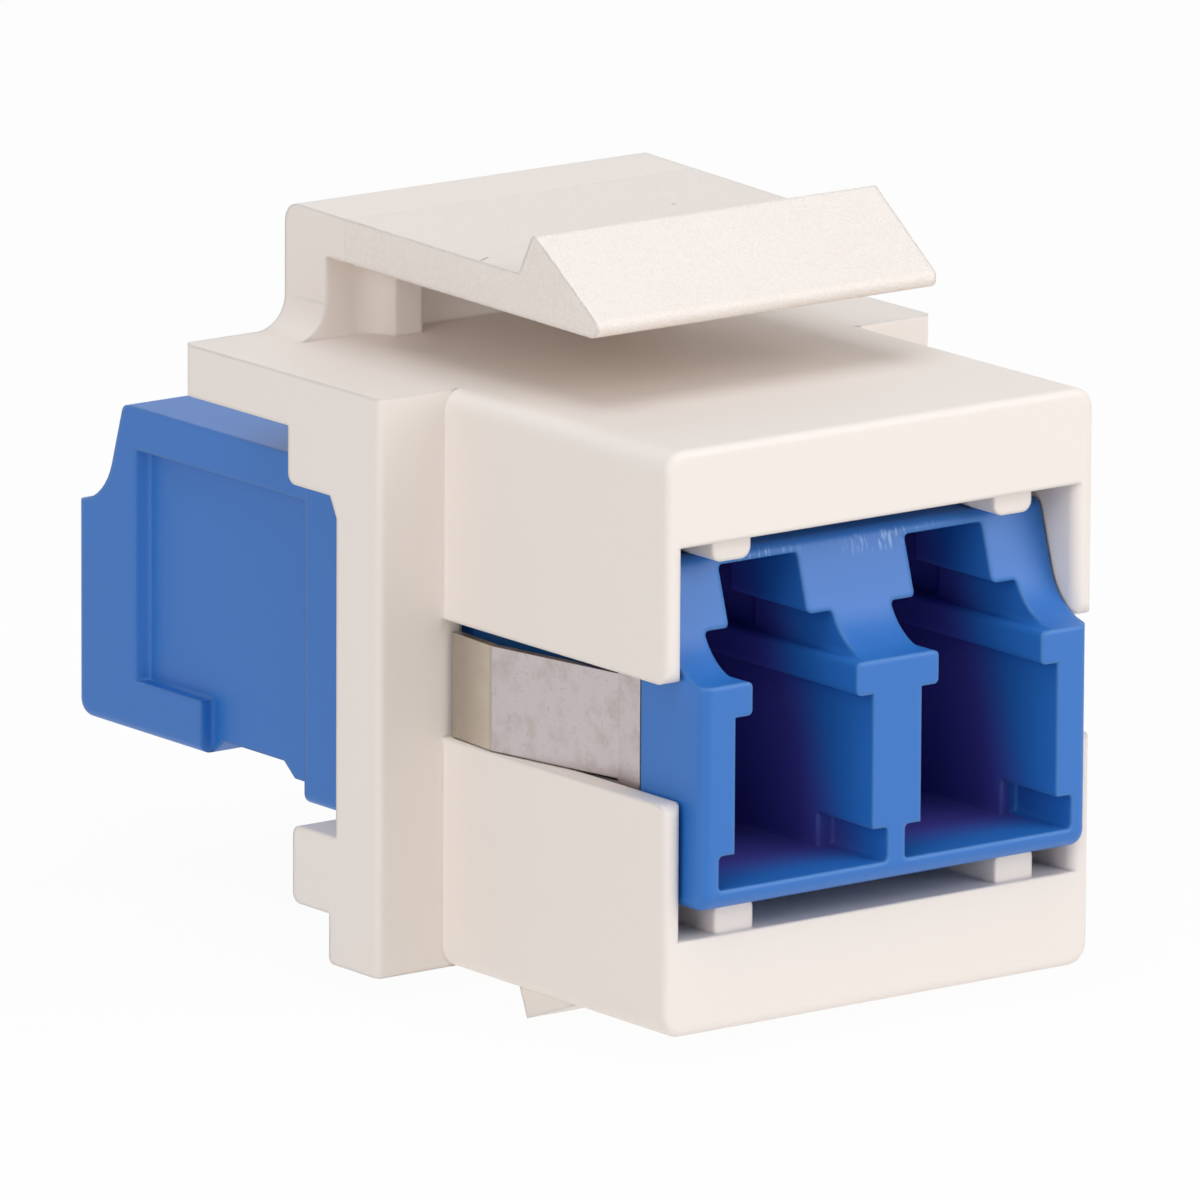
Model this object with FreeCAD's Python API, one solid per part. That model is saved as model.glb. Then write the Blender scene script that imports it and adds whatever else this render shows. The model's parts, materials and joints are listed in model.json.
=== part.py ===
import FreeCAD, Part
import os

os.makedirs("parts", exist_ok=True)
Vec = FreeCAD.Vector

# LC duplex fibre adapter in a snap-in keystone housing. Millimetres, seen from the ports:
# +X right, +Y rearwards (away from the ports), +Z up. The origin is the middle of the panel
# opening, on the plane of the flange's front face. Heights named *_RISE are measured up from
# the underside of the block, and depths named *_DEPTH back from the adapter's own end faces.

# ---- block that passes through the panel opening, and the room its bore leaves round the adapter
BLOCK_LEN = 9.8
BLOCK_EDGE_R = 0.6
FRONT_EDGE_R = 0.2
SIDE_WALL_T = 0.62
TOP_WALL_T = 2.6
BORE_SIDE_PLAY = 0.08
BORE_LOW_PLAY = 0.86
BORE_TOP_PLAY = 0.64
MOUTH_EDGE_R = 0.3

# ---- flange behind the panel, rear shelf and guide ears
SEAT_W = 2.15
FLANGE_T = 1.9
FLANGE_FOOT_T = 2.2
FLANGE_EDGE_R = 0.2
SHELF_LEN = 8.9
SHELF_T = 1.42
SHELF_CORNER_R = 0.3
EAR_LEN = 4.1
LOW_EAR_LEN = 3.85
LOW_EAR_RISE = 1.38
LOW_EAR_H = 2.15
TOP_EAR_DROP = 3.0
TOP_EAR_BEVEL = 0.58
EAR_EDGE_R = 0.3

# ---- fixed hook under the block
HOOK_W = 13.4
HOOK_H = 0.82
HOOK_TIP_Y = -3.15
HOOK_HEEL = 0.35
HOOK_RAMP = 2.2

# ---- side window for the clip's wing
WINDOW_RISE = 6.37
WINDOW_H = 3.26
WINDOW_CORNER_R = 0.35

# ---- crush ribs that grip the adapter
CRUSH_W = 1.28
CRUSH_X = 4.74
CRUSH_SETBACK = 0.4
LOW_CRUSH_SETBACK = 0.2
CRUSH_EDGE_R = 0.3

# ---- latch: riser on the shelf, gusset ribs, arm and barb
LATCH_ROOT_W = 11.9
LATCH_TIP_W = 11.4
RISER_T = 1.85
RISER_CORNER_R = 0.55
RISER_FLARE_R = 0.95
ARM_GAP = 2.25
ARM_T = 1.2
ARM_SLOPE = 0.028
ARM_TAPER = 0.006
RIB_X = 3.75
RIB_W = 0.9
RIB_LEN = 0.85
RIB_SCOOP_R = 0.8
TIP_Y = -5.4
TIP_R = 0.27
BARB_FOOT_Y = -1.4
BARB_LEAN = 0.6
BARB_H = 1.18
BARB_APEX_R = 0.12

# ---- adapter: two welded halves, the same moulding turned end for end
ADAPTER_W = 13.0
ADAPTER_H = 9.18
ADAPTER_LEN = 28.4
ADAPTER_RISE = 3.48
ADAPTER_PROUD = 0.75
ADAPTER_EDGE_R = 0.3
ADAPTER_SOLE_R = 0.5
COLLAR_LEN = 7.0
COLLAR_STEP = 0.05
COLLAR_DROP = 0.44
BROW_SLOPE = 0.303
BROW_TOP_DEPTH = 2.2
BROW_R = 1.8
BROW_EDGE_R = 0.3

# ---- recess that takes the clip, on the sides and underneath each half
POCKET_DEPTH = 2.72
POCKET_DEEP = 0.4
POCKET_WALL_RUN = 0.2
POCKET_SILL = 1.47
POCKET_H = 6.52
STRAP_DEPTH = 5.85
STRAP_RAMP = 0.5
STRAP_LEN = 3.3

# ---- LC ports
PORT_PITCH = 6.25
PORT_W = 4.65
PORT_FLOOR_T = 0.57
TAB_REACH = 0.565
TAB_H = 0.9
LUG_W = 4.3
LUG_H = 1.11
STEM_W = 2.66
ROOF_T = 0.34
NOTCH_W = 5.7
NOTCH_H = 0.95
NOTCH_LEN = 2.4
PORT_EDGE_R = 0.14
STOP_LEN = 2.8
CATCH_LEN = 3.4
CATCH_W = 4.6

# ---- sleeve holders, split sleeves and the welded joint
WEB_T = 1.3
HOLDER_WALL_T = 0.64
LIP_LEN = 0.55
LIP_HOLD = 0.03
LEAD_FLARE = 0.2
LEAD_LEN = 0.25
SLEEVE_LEN = 6.8
SLEEVE_BORE_R = 0.6245
SLEEVE_T = 0.1855
SLEEVE_SLIT = 0.3
SLEEVE_PLAY = 0.05
SLEEVE_END_PLAY = 0.15
PEG_X = 5.4
PEG_R = 0.5
PEG_LEN = 0.9
PEG_PLAY = 0.05
PEG_INSET = 1.1

# ---- retaining clip
CLIP_T = 0.25
CLIP_END_PLAY = 0.05
CLIP_BAND_LEN = 0.95
WING_H = 2.87
WING_LOW_PLAY = 0.04
WING_FLARE = 0.82
WING_FLAT_LEN = 4.5
WING_CURL = 0.15
WING_END_PLAY = 0.15
LANCE_PLAY = 0.08
CLIP_BEND_R = 0.22

# ---- derived sizes and places
BORE_W = ADAPTER_W + 2 * BORE_SIDE_PLAY
BLOCK_W = BORE_W + 2 * SIDE_WALL_T
BLOCK_H = ADAPTER_RISE + ADAPTER_H + BORE_TOP_PLAY + TOP_WALL_T
FLANGE_W = BLOCK_W + 2 * SEAT_W
Z_BOTTOM = -BLOCK_H / 2
Z_TOP = BLOCK_H / 2
Y_FRONT = -BLOCK_LEN
BORE_Z0 = Z_BOTTOM + ADAPTER_RISE - BORE_LOW_PLAY
BORE_Z1 = Z_TOP - TOP_WALL_T
WINDOW_Z0 = Z_BOTTOM + WINDOW_RISE
WINDOW_Z1 = WINDOW_Z0 + WINDOW_H
SHELF_Z0 = Z_TOP - SHELF_T
ARM_ROOT_Y = SHELF_LEN - RISER_T - RIB_LEN
ARM_ROOT_Z = Z_TOP + ARM_GAP
ADAPTER_Z0 = Z_BOTTOM + ADAPTER_RISE
ADAPTER_Z1 = ADAPTER_Z0 + ADAPTER_H
ADAPTER_Y0 = Y_FRONT - ADAPTER_PROUD
ADAPTER_MID = ADAPTER_Y0 + ADAPTER_LEN / 2
COLLAR_Y0 = ADAPTER_MID - COLLAR_LEN / 2
PORT_Z0 = ADAPTER_Z0 + PORT_FLOOR_T
PORT_Z = PORT_Z0 + PORT_W / 2
PORT_Z1 = PORT_Z0 + PORT_W
TAB_Z = PORT_Z1 + TAB_H
LUG_Z = TAB_Z + LUG_H
STEM_Z = ADAPTER_Z1 - ROOF_T
POCKET_Z0 = ADAPTER_Z0 + POCKET_SILL
POCKET_X = ADAPTER_W / 2 - POCKET_DEEP
WING_Z0 = WINDOW_Z0 + WING_LOW_PLAY
CLIP_Y0 = ADAPTER_Y0 + POCKET_DEPTH + POCKET_WALL_RUN + CLIP_END_PLAY
SLEEVE_R = SLEEVE_BORE_R + SLEEVE_T
HOLDER_R = SLEEVE_R + SLEEVE_PLAY + HOLDER_WALL_T
HOLDER_LEN = SLEEVE_LEN / 2 + SLEEVE_END_PLAY + LIP_LEN
LIP_R = SLEEVE_R - LIP_HOLD

# ---- how far cutting shapes reach past the material, and the match used to find edges
PAST = 5.0
MATCH = 1e-4


def box(x0, x1, y0, y1, z0, z1):
    """Block between two corners."""
    return Part.makeBox(x1 - x0, y1 - y0, z1 - z0, Vec(x0, y0, z0))


def prism_x(points, x0, x1):
    """Side profile, a list of (y, z), swept along X."""
    ring = [Vec(x0, y, z) for y, z in points]
    return Part.Face(Part.makePolygon(ring + ring[:1])).extrude(Vec(x1 - x0, 0, 0))


def prism_y(points, y0, y1):
    """Front profile, a list of (x, z), swept along Y."""
    ring = [Vec(x, y0, z) for x, z in points]
    return Part.Face(Part.makePolygon(ring + ring[:1])).extrude(Vec(0, y1 - y0, 0))


def prism_z(points, z0, z1):
    """Plan profile, a list of (x, y), swept along Z."""
    ring = [Vec(x, y, z0) for x, y in points]
    return Part.Face(Part.makePolygon(ring + ring[:1])).extrude(Vec(0, 0, z1 - z0))


def rod_y(radius, x, z, y0, y1):
    """Round bar along Y."""
    return Part.makeCylinder(radius, y1 - y0, Vec(x, y0, z), Vec(0, 1, 0))


def both_sides(shape):
    """The shape and its mirror image across the middle plane."""
    return shape.fuse(shape.mirror(Vec(0, 0, 0), Vec(1, 0, 0)))


def edges_at(shape, along, **place):
    """Straight edges that run along one axis through the given places on the others."""
    found = []
    for edge in shape.Edges:
        centre = edge.BoundBox.Center
        spans = {"x": edge.BoundBox.XLength, "y": edge.BoundBox.YLength, "z": edge.BoundBox.ZLength}
        across = [spans[axis] for axis in "xyz" if axis != along]
        fits = all(abs(getattr(centre, axis) - value) < MATCH for axis, value in place.items())
        if fits and spans[along] > MATCH and max(across) < MATCH:
            found.append(edge)
    return found


def rounded(shape, radius, edges):
    """The shape with the given edges rounded."""
    return shape.makeFillet(radius, edges)


def mirrored_profile(half):
    """Closed outline from its right half, listed from bottom to top."""
    return half + [(-x, z) for x, z in reversed(half)]


def single(shape):
    """One clean solid out of a boolean result."""
    return shape.removeSplitter().Solids[0]


# ---------------------------------------------------------------- housing

def front_block():
    """Block in front of the flange, with rounded long edges and a softer front rim."""
    block = box(-BLOCK_W / 2, BLOCK_W / 2, Y_FRONT, FLANGE_T / 2, Z_BOTTOM, Z_TOP)
    block = rounded(block, BLOCK_EDGE_R, edges_at(block, "y"))
    rim = [e for e in block.Edges if e.BoundBox.YMax < Y_FRONT + MATCH]
    return rounded(block, FRONT_EDGE_R, rim)


def rear_body():
    """Flange, guide ears and shelf: one side profile swept across the full width."""
    low_ear = Z_BOTTOM + LOW_EAR_RISE
    top_ear = Z_TOP - TOP_EAR_DROP
    outline = [
        (0, Z_BOTTOM), (FLANGE_FOOT_T, Z_BOTTOM), (FLANGE_FOOT_T, low_ear),
        (LOW_EAR_LEN, low_ear), (LOW_EAR_LEN, low_ear + LOW_EAR_H), (FLANGE_T, low_ear + LOW_EAR_H),
        (FLANGE_T, top_ear - TOP_EAR_BEVEL), (FLANGE_FOOT_T, top_ear), (EAR_LEN, top_ear),
        (EAR_LEN, SHELF_Z0), (SHELF_LEN, SHELF_Z0), (SHELF_LEN, Z_TOP), (0, Z_TOP),
    ]
    body = prism_x(outline, -FLANGE_W / 2, FLANGE_W / 2)
    ear_edges = edges_at(body, "x", y=LOW_EAR_LEN) + edges_at(body, "x", y=EAR_LEN, z=top_ear)
    body = rounded(body, EAR_EDGE_R, ear_edges)
    body = rounded(body, SHELF_CORNER_R, edges_at(body, "z", y=SHELF_LEN))
    corners = edges_at(body, "z", y=0) + edges_at(body, "x", y=FLANGE_FOOT_T, z=Z_BOTTOM)
    return rounded(body, FLANGE_EDGE_R, corners)


def latch_plan(y0, y1):
    """Plan of the latch, a little narrower towards the tip, as a tall prism."""
    def half_width(y):
        share = (SHELF_LEN - y) / (SHELF_LEN - TIP_Y)
        return (LATCH_ROOT_W + (LATCH_TIP_W - LATCH_ROOT_W) * share) / 2
    w0, w1 = half_width(y0), half_width(y1)
    return prism_z([(-w0, y0), (w0, y0), (w1, y1), (-w1, y1)], Z_TOP - PAST, Z_TOP + PAST)


def arm_bottom(y):
    """Height of the arm's underside: it falls gently towards the tip."""
    return ARM_ROOT_Z - (ARM_ROOT_Y - y) * (ARM_SLOPE - ARM_TAPER)


def arm_top(y):
    """Height of the arm's top."""
    return ARM_ROOT_Z + ARM_T - (ARM_ROOT_Y - y) * ARM_SLOPE


def riser():
    """Upright wall on the shelf's rear edge, with the stiff root of the arm."""
    inner = SHELF_LEN - RISER_T
    outline = [
        (SHELF_LEN, Z_TOP), (SHELF_LEN, arm_top(SHELF_LEN)), (ARM_ROOT_Y, arm_top(ARM_ROOT_Y)),
        (ARM_ROOT_Y, ARM_ROOT_Z), (inner, arm_bottom(inner)), (inner, Z_TOP),
    ]
    wall = prism_x(outline, -LATCH_ROOT_W, LATCH_ROOT_W)
    wall = rounded(wall, RISER_CORNER_R, edges_at(wall, "x", y=SHELF_LEN, z=arm_top(SHELF_LEN)))
    return wall.common(latch_plan(ARM_ROOT_Y, SHELF_LEN))


def riser_flare():
    """Concave fillet between the shelf's top and the riser's side."""
    side = LATCH_ROOT_W / 2
    flare = box(side - RISER_CORNER_R, side + RISER_FLARE_R, SHELF_LEN - RISER_T, SHELF_LEN,
                Z_TOP, Z_TOP + RISER_FLARE_R)
    hollow = rod_y(RISER_FLARE_R, side + RISER_FLARE_R, Z_TOP + RISER_FLARE_R, 0, SHELF_LEN + PAST)
    return both_sides(flare.cut(hollow))


def gusset_ribs():
    """Two upright ribs that stiffen the riser under the arm, scooped on their outer side."""
    inner = SHELF_LEN - RISER_T
    x0, x1 = RIB_X - RIB_W / 2, RIB_X + RIB_W / 2
    top = ARM_ROOT_Z + ARM_T / 2
    rib = box(x0, x1, ARM_ROOT_Y, inner + RISER_T / 2, Z_TOP, top)
    scoop = box(x1, x1 + RIB_SCOOP_R, inner - RIB_SCOOP_R, inner + RISER_T / 2, Z_TOP, top)
    centre = Vec(x1 + RIB_SCOOP_R, inner - RIB_SCOOP_R, Z_TOP)
    scoop = scoop.cut(Part.makeCylinder(RIB_SCOOP_R, top - Z_TOP, centre))
    return both_sides(rib.fuse(scoop))


def hook():
    """Fixed hook under the block: a ramp that slides in and a heel that catches the panel."""
    tip = Z_BOTTOM - HOOK_H
    outline = [(HOOK_TIP_Y - HOOK_RAMP, Z_BOTTOM), (HOOK_TIP_Y, tip), (HOOK_TIP_Y + HOOK_HEEL, Z_BOTTOM),
               (HOOK_TIP_Y, Z_BOTTOM + BLOCK_EDGE_R)]
    return prism_x(outline, -HOOK_W / 2, HOOK_W / 2)


def crush_ribs():
    """Four short ribs that fill the space between the bore and the adapter."""
    x0, x1 = CRUSH_X - CRUSH_W / 2, CRUSH_X + CRUSH_W / 2
    low = box(x0, x1, Y_FRONT + LOW_CRUSH_SETBACK, COLLAR_Y0, BORE_Z0 - CRUSH_EDGE_R, ADAPTER_Z0)
    low = rounded(low, CRUSH_EDGE_R, edges_at(low, "y", z=ADAPTER_Z0))
    high = box(x0, x1, Y_FRONT + CRUSH_SETBACK, COLLAR_Y0, ADAPTER_Z1, BORE_Z1 + CRUSH_EDGE_R)
    high = rounded(high, CRUSH_EDGE_R, edges_at(high, "y", z=ADAPTER_Z1))
    return both_sides(low.fuse(high))


def side_windows():
    """Slots in both side walls, open to the front, with rounded mouths."""
    x0, x1 = BORE_W / 2 - CLIP_T, BLOCK_W / 2 + PAST
    slot = box(x0, x1, Y_FRONT - PAST, 0, WINDOW_Z0, WINDOW_Z1)
    for z, side in ((WINDOW_Z0, -1), (WINDOW_Z1, 1)):
        r = WINDOW_CORNER_R
        corner = box(x0, x1, Y_FRONT - PAST, Y_FRONT + r, min(z, z + side * r), max(z, z + side * r))
        ball = Part.makeCylinder(r, x1 - x0, Vec(x0, Y_FRONT + r, z + side * r), Vec(1, 0, 0))
        slot = slot.fuse(corner.cut(ball))
    return both_sides(slot)


def bore():
    """Room for the adapter; the inner edges of the side walls are rounded at its mouth."""
    half, r = BORE_W / 2, MOUTH_EDGE_R
    room = box(-half, half, Y_FRONT - PAST, SHELF_LEN + PAST, BORE_Z0, BORE_Z1)
    mouth = box(half - PAST, half + r, Y_FRONT - PAST, Y_FRONT + r, BORE_Z0, BORE_Z1)
    bead = Part.makeCylinder(r, BORE_Z1 - BORE_Z0, Vec(half + r, Y_FRONT + r, BORE_Z0))
    return room.fuse(both_sides(mouth.cut(bead)))


def keystone_housing():
    """One moulding: block, flange, shelf, ears, riser, ribs and hook."""
    body = front_block().fuse([rear_body(), hook()])
    body = body.cut(bore()).cut(side_windows())
    return single(body.fuse([crush_ribs(), riser(), riser_flare(), gusset_ribs()]))


def latch_arm():
    """Springy arm with the barb that snaps behind the panel's top edge."""
    foot_z = arm_top(BARB_FOOT_Y)
    apex_y = BARB_FOOT_Y - BARB_LEAN
    outline = [
        (ARM_ROOT_Y, ARM_ROOT_Z), (ARM_ROOT_Y, arm_top(ARM_ROOT_Y)), (BARB_FOOT_Y, foot_z),
        (apex_y, foot_z + BARB_H), (TIP_Y, arm_bottom(TIP_Y)),
    ]
    arm = prism_x(outline, -LATCH_ROOT_W, LATCH_ROOT_W)
    arm = rounded(arm, TIP_R, edges_at(arm, "x", y=TIP_Y))
    arm = rounded(arm, BARB_APEX_R, edges_at(arm, "x", y=apex_y))
    return single(arm.common(latch_plan(TIP_Y - TIP_R, ARM_ROOT_Y)))


# ---------------------------------------------------------------- adapter

def adapter_blank():
    """Outer form of the front half: body with softened edges and the middle collar."""
    half = ADAPTER_W / 2
    body = box(-half, half, ADAPTER_Y0, ADAPTER_MID, ADAPTER_Z0, ADAPTER_Z1)
    body = rounded(body, ADAPTER_SOLE_R, edges_at(body, "x", y=ADAPTER_Y0, z=ADAPTER_Z0))
    soft = edges_at(body, "y", z=ADAPTER_Z0) + edges_at(body, "z", y=ADAPTER_Y0)
    body = rounded(body, ADAPTER_EDGE_R, soft)
    wide = half + COLLAR_STEP
    collar = box(-wide, wide, COLLAR_Y0, ADAPTER_MID, ADAPTER_Z0 - COLLAR_DROP, ADAPTER_Z1 + COLLAR_STEP)
    collar = rounded(collar, ADAPTER_EDGE_R, edges_at(collar, "y", z=ADAPTER_Z0 - COLLAR_DROP))
    return body.fuse(collar)


def brow_cut():
    """Space in front of the sloping brow above the tabs, with a concave foot."""
    brow_y = ADAPTER_Y0 + BROW_TOP_DEPTH
    foot_y = brow_y - (ADAPTER_Z1 - TAB_Z) * BROW_SLOPE
    outline = [(ADAPTER_Y0 - PAST, TAB_Z), (foot_y, TAB_Z), (foot_y + PAST * BROW_SLOPE, TAB_Z + PAST),
               (ADAPTER_Y0 - PAST, TAB_Z + PAST)]
    cut = prism_x(outline, -ADAPTER_W, ADAPTER_W)
    return rounded(cut, BROW_R, edges_at(cut, "x", y=foot_y, z=TAB_Z))


def clip_recess():
    """Shallow pocket on both sides, joined by a channel underneath."""
    y0 = ADAPTER_Y0 + POCKET_DEPTH
    strap_y0 = ADAPTER_Y0 + STRAP_DEPTH
    side_x = ADAPTER_W / 2
    outer = side_x + PAST
    plan = [(side_x, y0), (outer, y0), (outer, COLLAR_Y0), (POCKET_X, COLLAR_Y0),
            (POCKET_X, y0 + POCKET_WALL_RUN)]
    side = prism_z(plan, POCKET_Z0, POCKET_Z0 + POCKET_H)
    drop = box(POCKET_X, outer, strap_y0, COLLAR_Y0, ADAPTER_Z0 - COLLAR_DROP, POCKET_Z0)
    floor = ADAPTER_Z0 + POCKET_DEEP
    under = [(strap_y0, ADAPTER_Z0 - COLLAR_DROP), (strap_y0, ADAPTER_Z0), (strap_y0 + STRAP_RAMP, floor),
             (strap_y0 + STRAP_LEN, floor), (strap_y0 + STRAP_LEN + STRAP_RAMP, ADAPTER_Z0),
             (strap_y0 + STRAP_LEN + STRAP_RAMP, ADAPTER_Z0 - COLLAR_DROP)]
    channel = prism_x(under, -outer, outer)
    return both_sides(side.fuse(drop)).fuse(channel)


def port_cavity(x):
    """Everything that is hollow in one LC port of the front half."""
    end = ADAPTER_MID - WEB_T
    half = PORT_W / 2
    tab = half - TAB_REACH
    lug, stem = LUG_W / 2, STEM_W / 2
    right = [(half, PORT_Z0), (half, PORT_Z1), (tab, PORT_Z1), (tab, TAB_Z),
             (lug, TAB_Z), (lug, LUG_Z), (stem, LUG_Z), (stem, STEM_Z)]
    profile = [(x + dx, z) for dx, z in mirrored_profile(right)]
    brow_y = ADAPTER_Y0 + BROW_TOP_DEPTH
    catch_y0 = brow_y + STOP_LEN
    catch_y1 = catch_y0 + CATCH_LEN
    channel = prism_y(profile, ADAPTER_Y0 - PAST, catch_y1)
    channel = rounded(channel, PORT_EDGE_R, edges_at(channel, "y"))
    well = box(x - half, x + half, ADAPTER_Y0, end, PORT_Z0, PORT_Z1)
    catch = box(x - CATCH_W / 2, x + CATCH_W / 2, catch_y0, catch_y1, TAB_Z, STEM_Z)
    notch = box(x - NOTCH_W / 2, x + NOTCH_W / 2, ADAPTER_Y0 - PAST, ADAPTER_Y0 + NOTCH_LEN,
                PORT_Z0, PORT_Z0 + NOTCH_H)
    notch = rounded(notch, PORT_EDGE_R, edges_at(notch, "y"))
    return channel.fuse([well, catch, notch])


def sleeve_holder(x):
    """Round tube that stands out of the web into the port."""
    return rod_y(HOLDER_R, x, PORT_Z, ADAPTER_MID - HOLDER_LEN, ADAPTER_MID - WEB_T / 2)


def sleeve_bore(x):
    """Stepped bore: room for half of the split sleeve, a lip, and a lead-in for the ferrule."""
    tip = ADAPTER_MID - HOLDER_LEN
    room = rod_y(SLEEVE_R + SLEEVE_PLAY, x, PORT_Z, tip + LIP_LEN, ADAPTER_MID + PAST)
    lip = rod_y(LIP_R, x, PORT_Z, tip - PAST, ADAPTER_MID)
    lead = Part.makeCone(LIP_R + LEAD_FLARE, LIP_R, LEAD_LEN, Vec(x, tip, PORT_Z), Vec(0, 1, 0))
    return room.fuse([lip, lead])


def weld_pegs(radius, length, side):
    """Two pegs at opposite corners of the joint face, or the sockets for them."""
    low, high = ADAPTER_Z0 + PEG_INSET, ADAPTER_Z1 - PEG_INSET
    y0, y1 = sorted((ADAPTER_MID, ADAPTER_MID + side * length))
    return rod_y(radius, side * PEG_X, high, y0, y1).fuse(rod_y(radius, side * PEG_X, low, y0, y1))


def adapter_half():
    """Front half of the adapter, up to the weld at its middle."""
    centres = (-PORT_PITCH / 2, PORT_PITCH / 2)
    body = single(adapter_blank().cut(brow_cut()))
    brow_top = edges_at(body, "x", y=ADAPTER_Y0 + BROW_TOP_DEPTH, z=ADAPTER_Z1)
    body = rounded(body, BROW_EDGE_R, brow_top).cut(clip_recess())
    for x in centres:
        body = body.cut(port_cavity(x))
    for x in centres:
        body = body.fuse(sleeve_holder(x)).cut(sleeve_bore(x))
    body = body.fuse(weld_pegs(PEG_R, PEG_LEN, 1))
    return single(body.cut(weld_pegs(PEG_R + PEG_PLAY, PEG_LEN + PEG_PLAY, -1)))


def turned_about_middle(shape):
    """The same piece turned end for end about the adapter's middle."""
    turned = shape.copy()
    turned.rotate(Vec(0, ADAPTER_MID, 0), Vec(0, 0, 1), 180)
    return turned


def split_sleeve(x):
    """Ceramic tube with one slit along its top, centred on the joint."""
    y0 = ADAPTER_MID - SLEEVE_LEN / 2
    y1 = ADAPTER_MID + SLEEVE_LEN / 2
    tube = rod_y(SLEEVE_R, x, PORT_Z, y0, y1).cut(rod_y(SLEEVE_BORE_R, x, PORT_Z, y0 - PAST, y1 + PAST))
    slit = box(x - SLEEVE_SLIT / 2, x + SLEEVE_SLIT / 2, y0 - PAST, y1 + PAST, PORT_Z, PORT_Z + PAST)
    return tube.cut(slit)


# ---------------------------------------------------------------- clip

def clip_side_plate():
    """Side of the clip: front band, two arms beside the wing and the leg down to the strap."""
    y1 = COLLAR_Y0 - CLIP_END_PLAY
    z0 = POCKET_Z0 + CLIP_END_PLAY
    z1 = POCKET_Z0 + POCKET_H - CLIP_END_PLAY
    strap_y0 = ADAPTER_Y0 + STRAP_DEPTH + STRAP_RAMP + CLIP_END_PLAY
    strap_y1 = ADAPTER_Y0 + STRAP_DEPTH + STRAP_LEN - CLIP_END_PLAY
    foot = ADAPTER_Z0 + POCKET_DEEP - CLIP_T
    plate = box(POCKET_X, POCKET_X + CLIP_T, CLIP_Y0, y1, z0, z1)
    leg = box(POCKET_X, POCKET_X + CLIP_T, strap_y0, strap_y1, foot, z0)
    lance = box(POCKET_X - PAST, POCKET_X + PAST, CLIP_Y0 + CLIP_BAND_LEN, y1 + PAST,
                WING_Z0 - LANCE_PLAY, WING_Z0 + WING_H + LANCE_PLAY)
    return plate.fuse(leg).cut(lance)


def clip_wing():
    """Wing lanced out of the side plate: it leans out and its free end curls back in."""
    root = CLIP_Y0 + CLIP_BAND_LEN
    knee = root + WING_FLAT_LEN
    end = -WING_END_PLAY
    x0 = POCKET_X
    lean = [(x0, CLIP_Y0), (x0 + CLIP_T, CLIP_Y0), (x0 + CLIP_T, root), (x0 + CLIP_T + WING_FLARE, knee),
            (x0 + CLIP_T + WING_FLARE - WING_CURL, end), (x0 + WING_FLARE - WING_CURL, end),
            (x0 + WING_FLARE, knee), (x0, root)]
    wing = prism_z(lean, WING_Z0, WING_Z0 + WING_H)
    bends = edges_at(wing, "z", x=x0 + CLIP_T + WING_FLARE, y=knee)
    return rounded(wing, CLIP_T, bends)


def retaining_clip():
    """Sprung steel strap around three sides of the adapter, with a wing on each side."""
    strap_y0 = ADAPTER_Y0 + STRAP_DEPTH + STRAP_RAMP + CLIP_END_PLAY
    strap_y1 = ADAPTER_Y0 + STRAP_DEPTH + STRAP_LEN - CLIP_END_PLAY
    top = ADAPTER_Z0 + POCKET_DEEP
    strap = box(-POCKET_X - CLIP_T, POCKET_X + CLIP_T, strap_y0, strap_y1, top - CLIP_T, top)
    strap = rounded(strap, CLIP_BEND_R, edges_at(strap, "y", z=top - CLIP_T))
    sides = both_sides(clip_side_plate().fuse(clip_wing()))
    return single(strap.fuse(sides))


# ---------------------------------------------------------------- pieces

def save(shape, node):
    """Write one piece to its own file."""
    shape.exportStep("parts/" + node + ".step")


def main():
    """Build every piece and write it."""
    front_half = adapter_half()
    pieces = {
        "keystone_housing": keystone_housing(),
        "latch_arm": latch_arm(),
        "adapter_front_shell": front_half,
        "adapter_rear_shell": turned_about_middle(front_half),
        "alignment_sleeve_left": split_sleeve(-PORT_PITCH / 2),
        "alignment_sleeve_right": split_sleeve(PORT_PITCH / 2),
        "retaining_clip": retaining_clip(),
    }
    for node, shape in pieces.items():
        save(shape, node)
        print(node, "volume", round(shape.Volume, 2), "solids", len(shape.Solids), "valid", shape.isValid())


main()
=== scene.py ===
# %% [markdown]
# # An LC fibre adapter in its keystone housing
# The imported model already has every form of this small part: the moulded housing, its latch, the two
# welded adapter halves, the ceramic sleeves and the steel clip. What is left for Blender is how they
# look: four finishes, a few marks of moulding and handling, some painted shade, painted glints and
# painted reflections, a copy of the latch that can bend, a studio and a camera. Everything below is in
# metres, in the frame of the part itself.

import json
import math

import bmesh
import bpy
import numpy as np
from mathutils import Matrix, Vector


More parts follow.
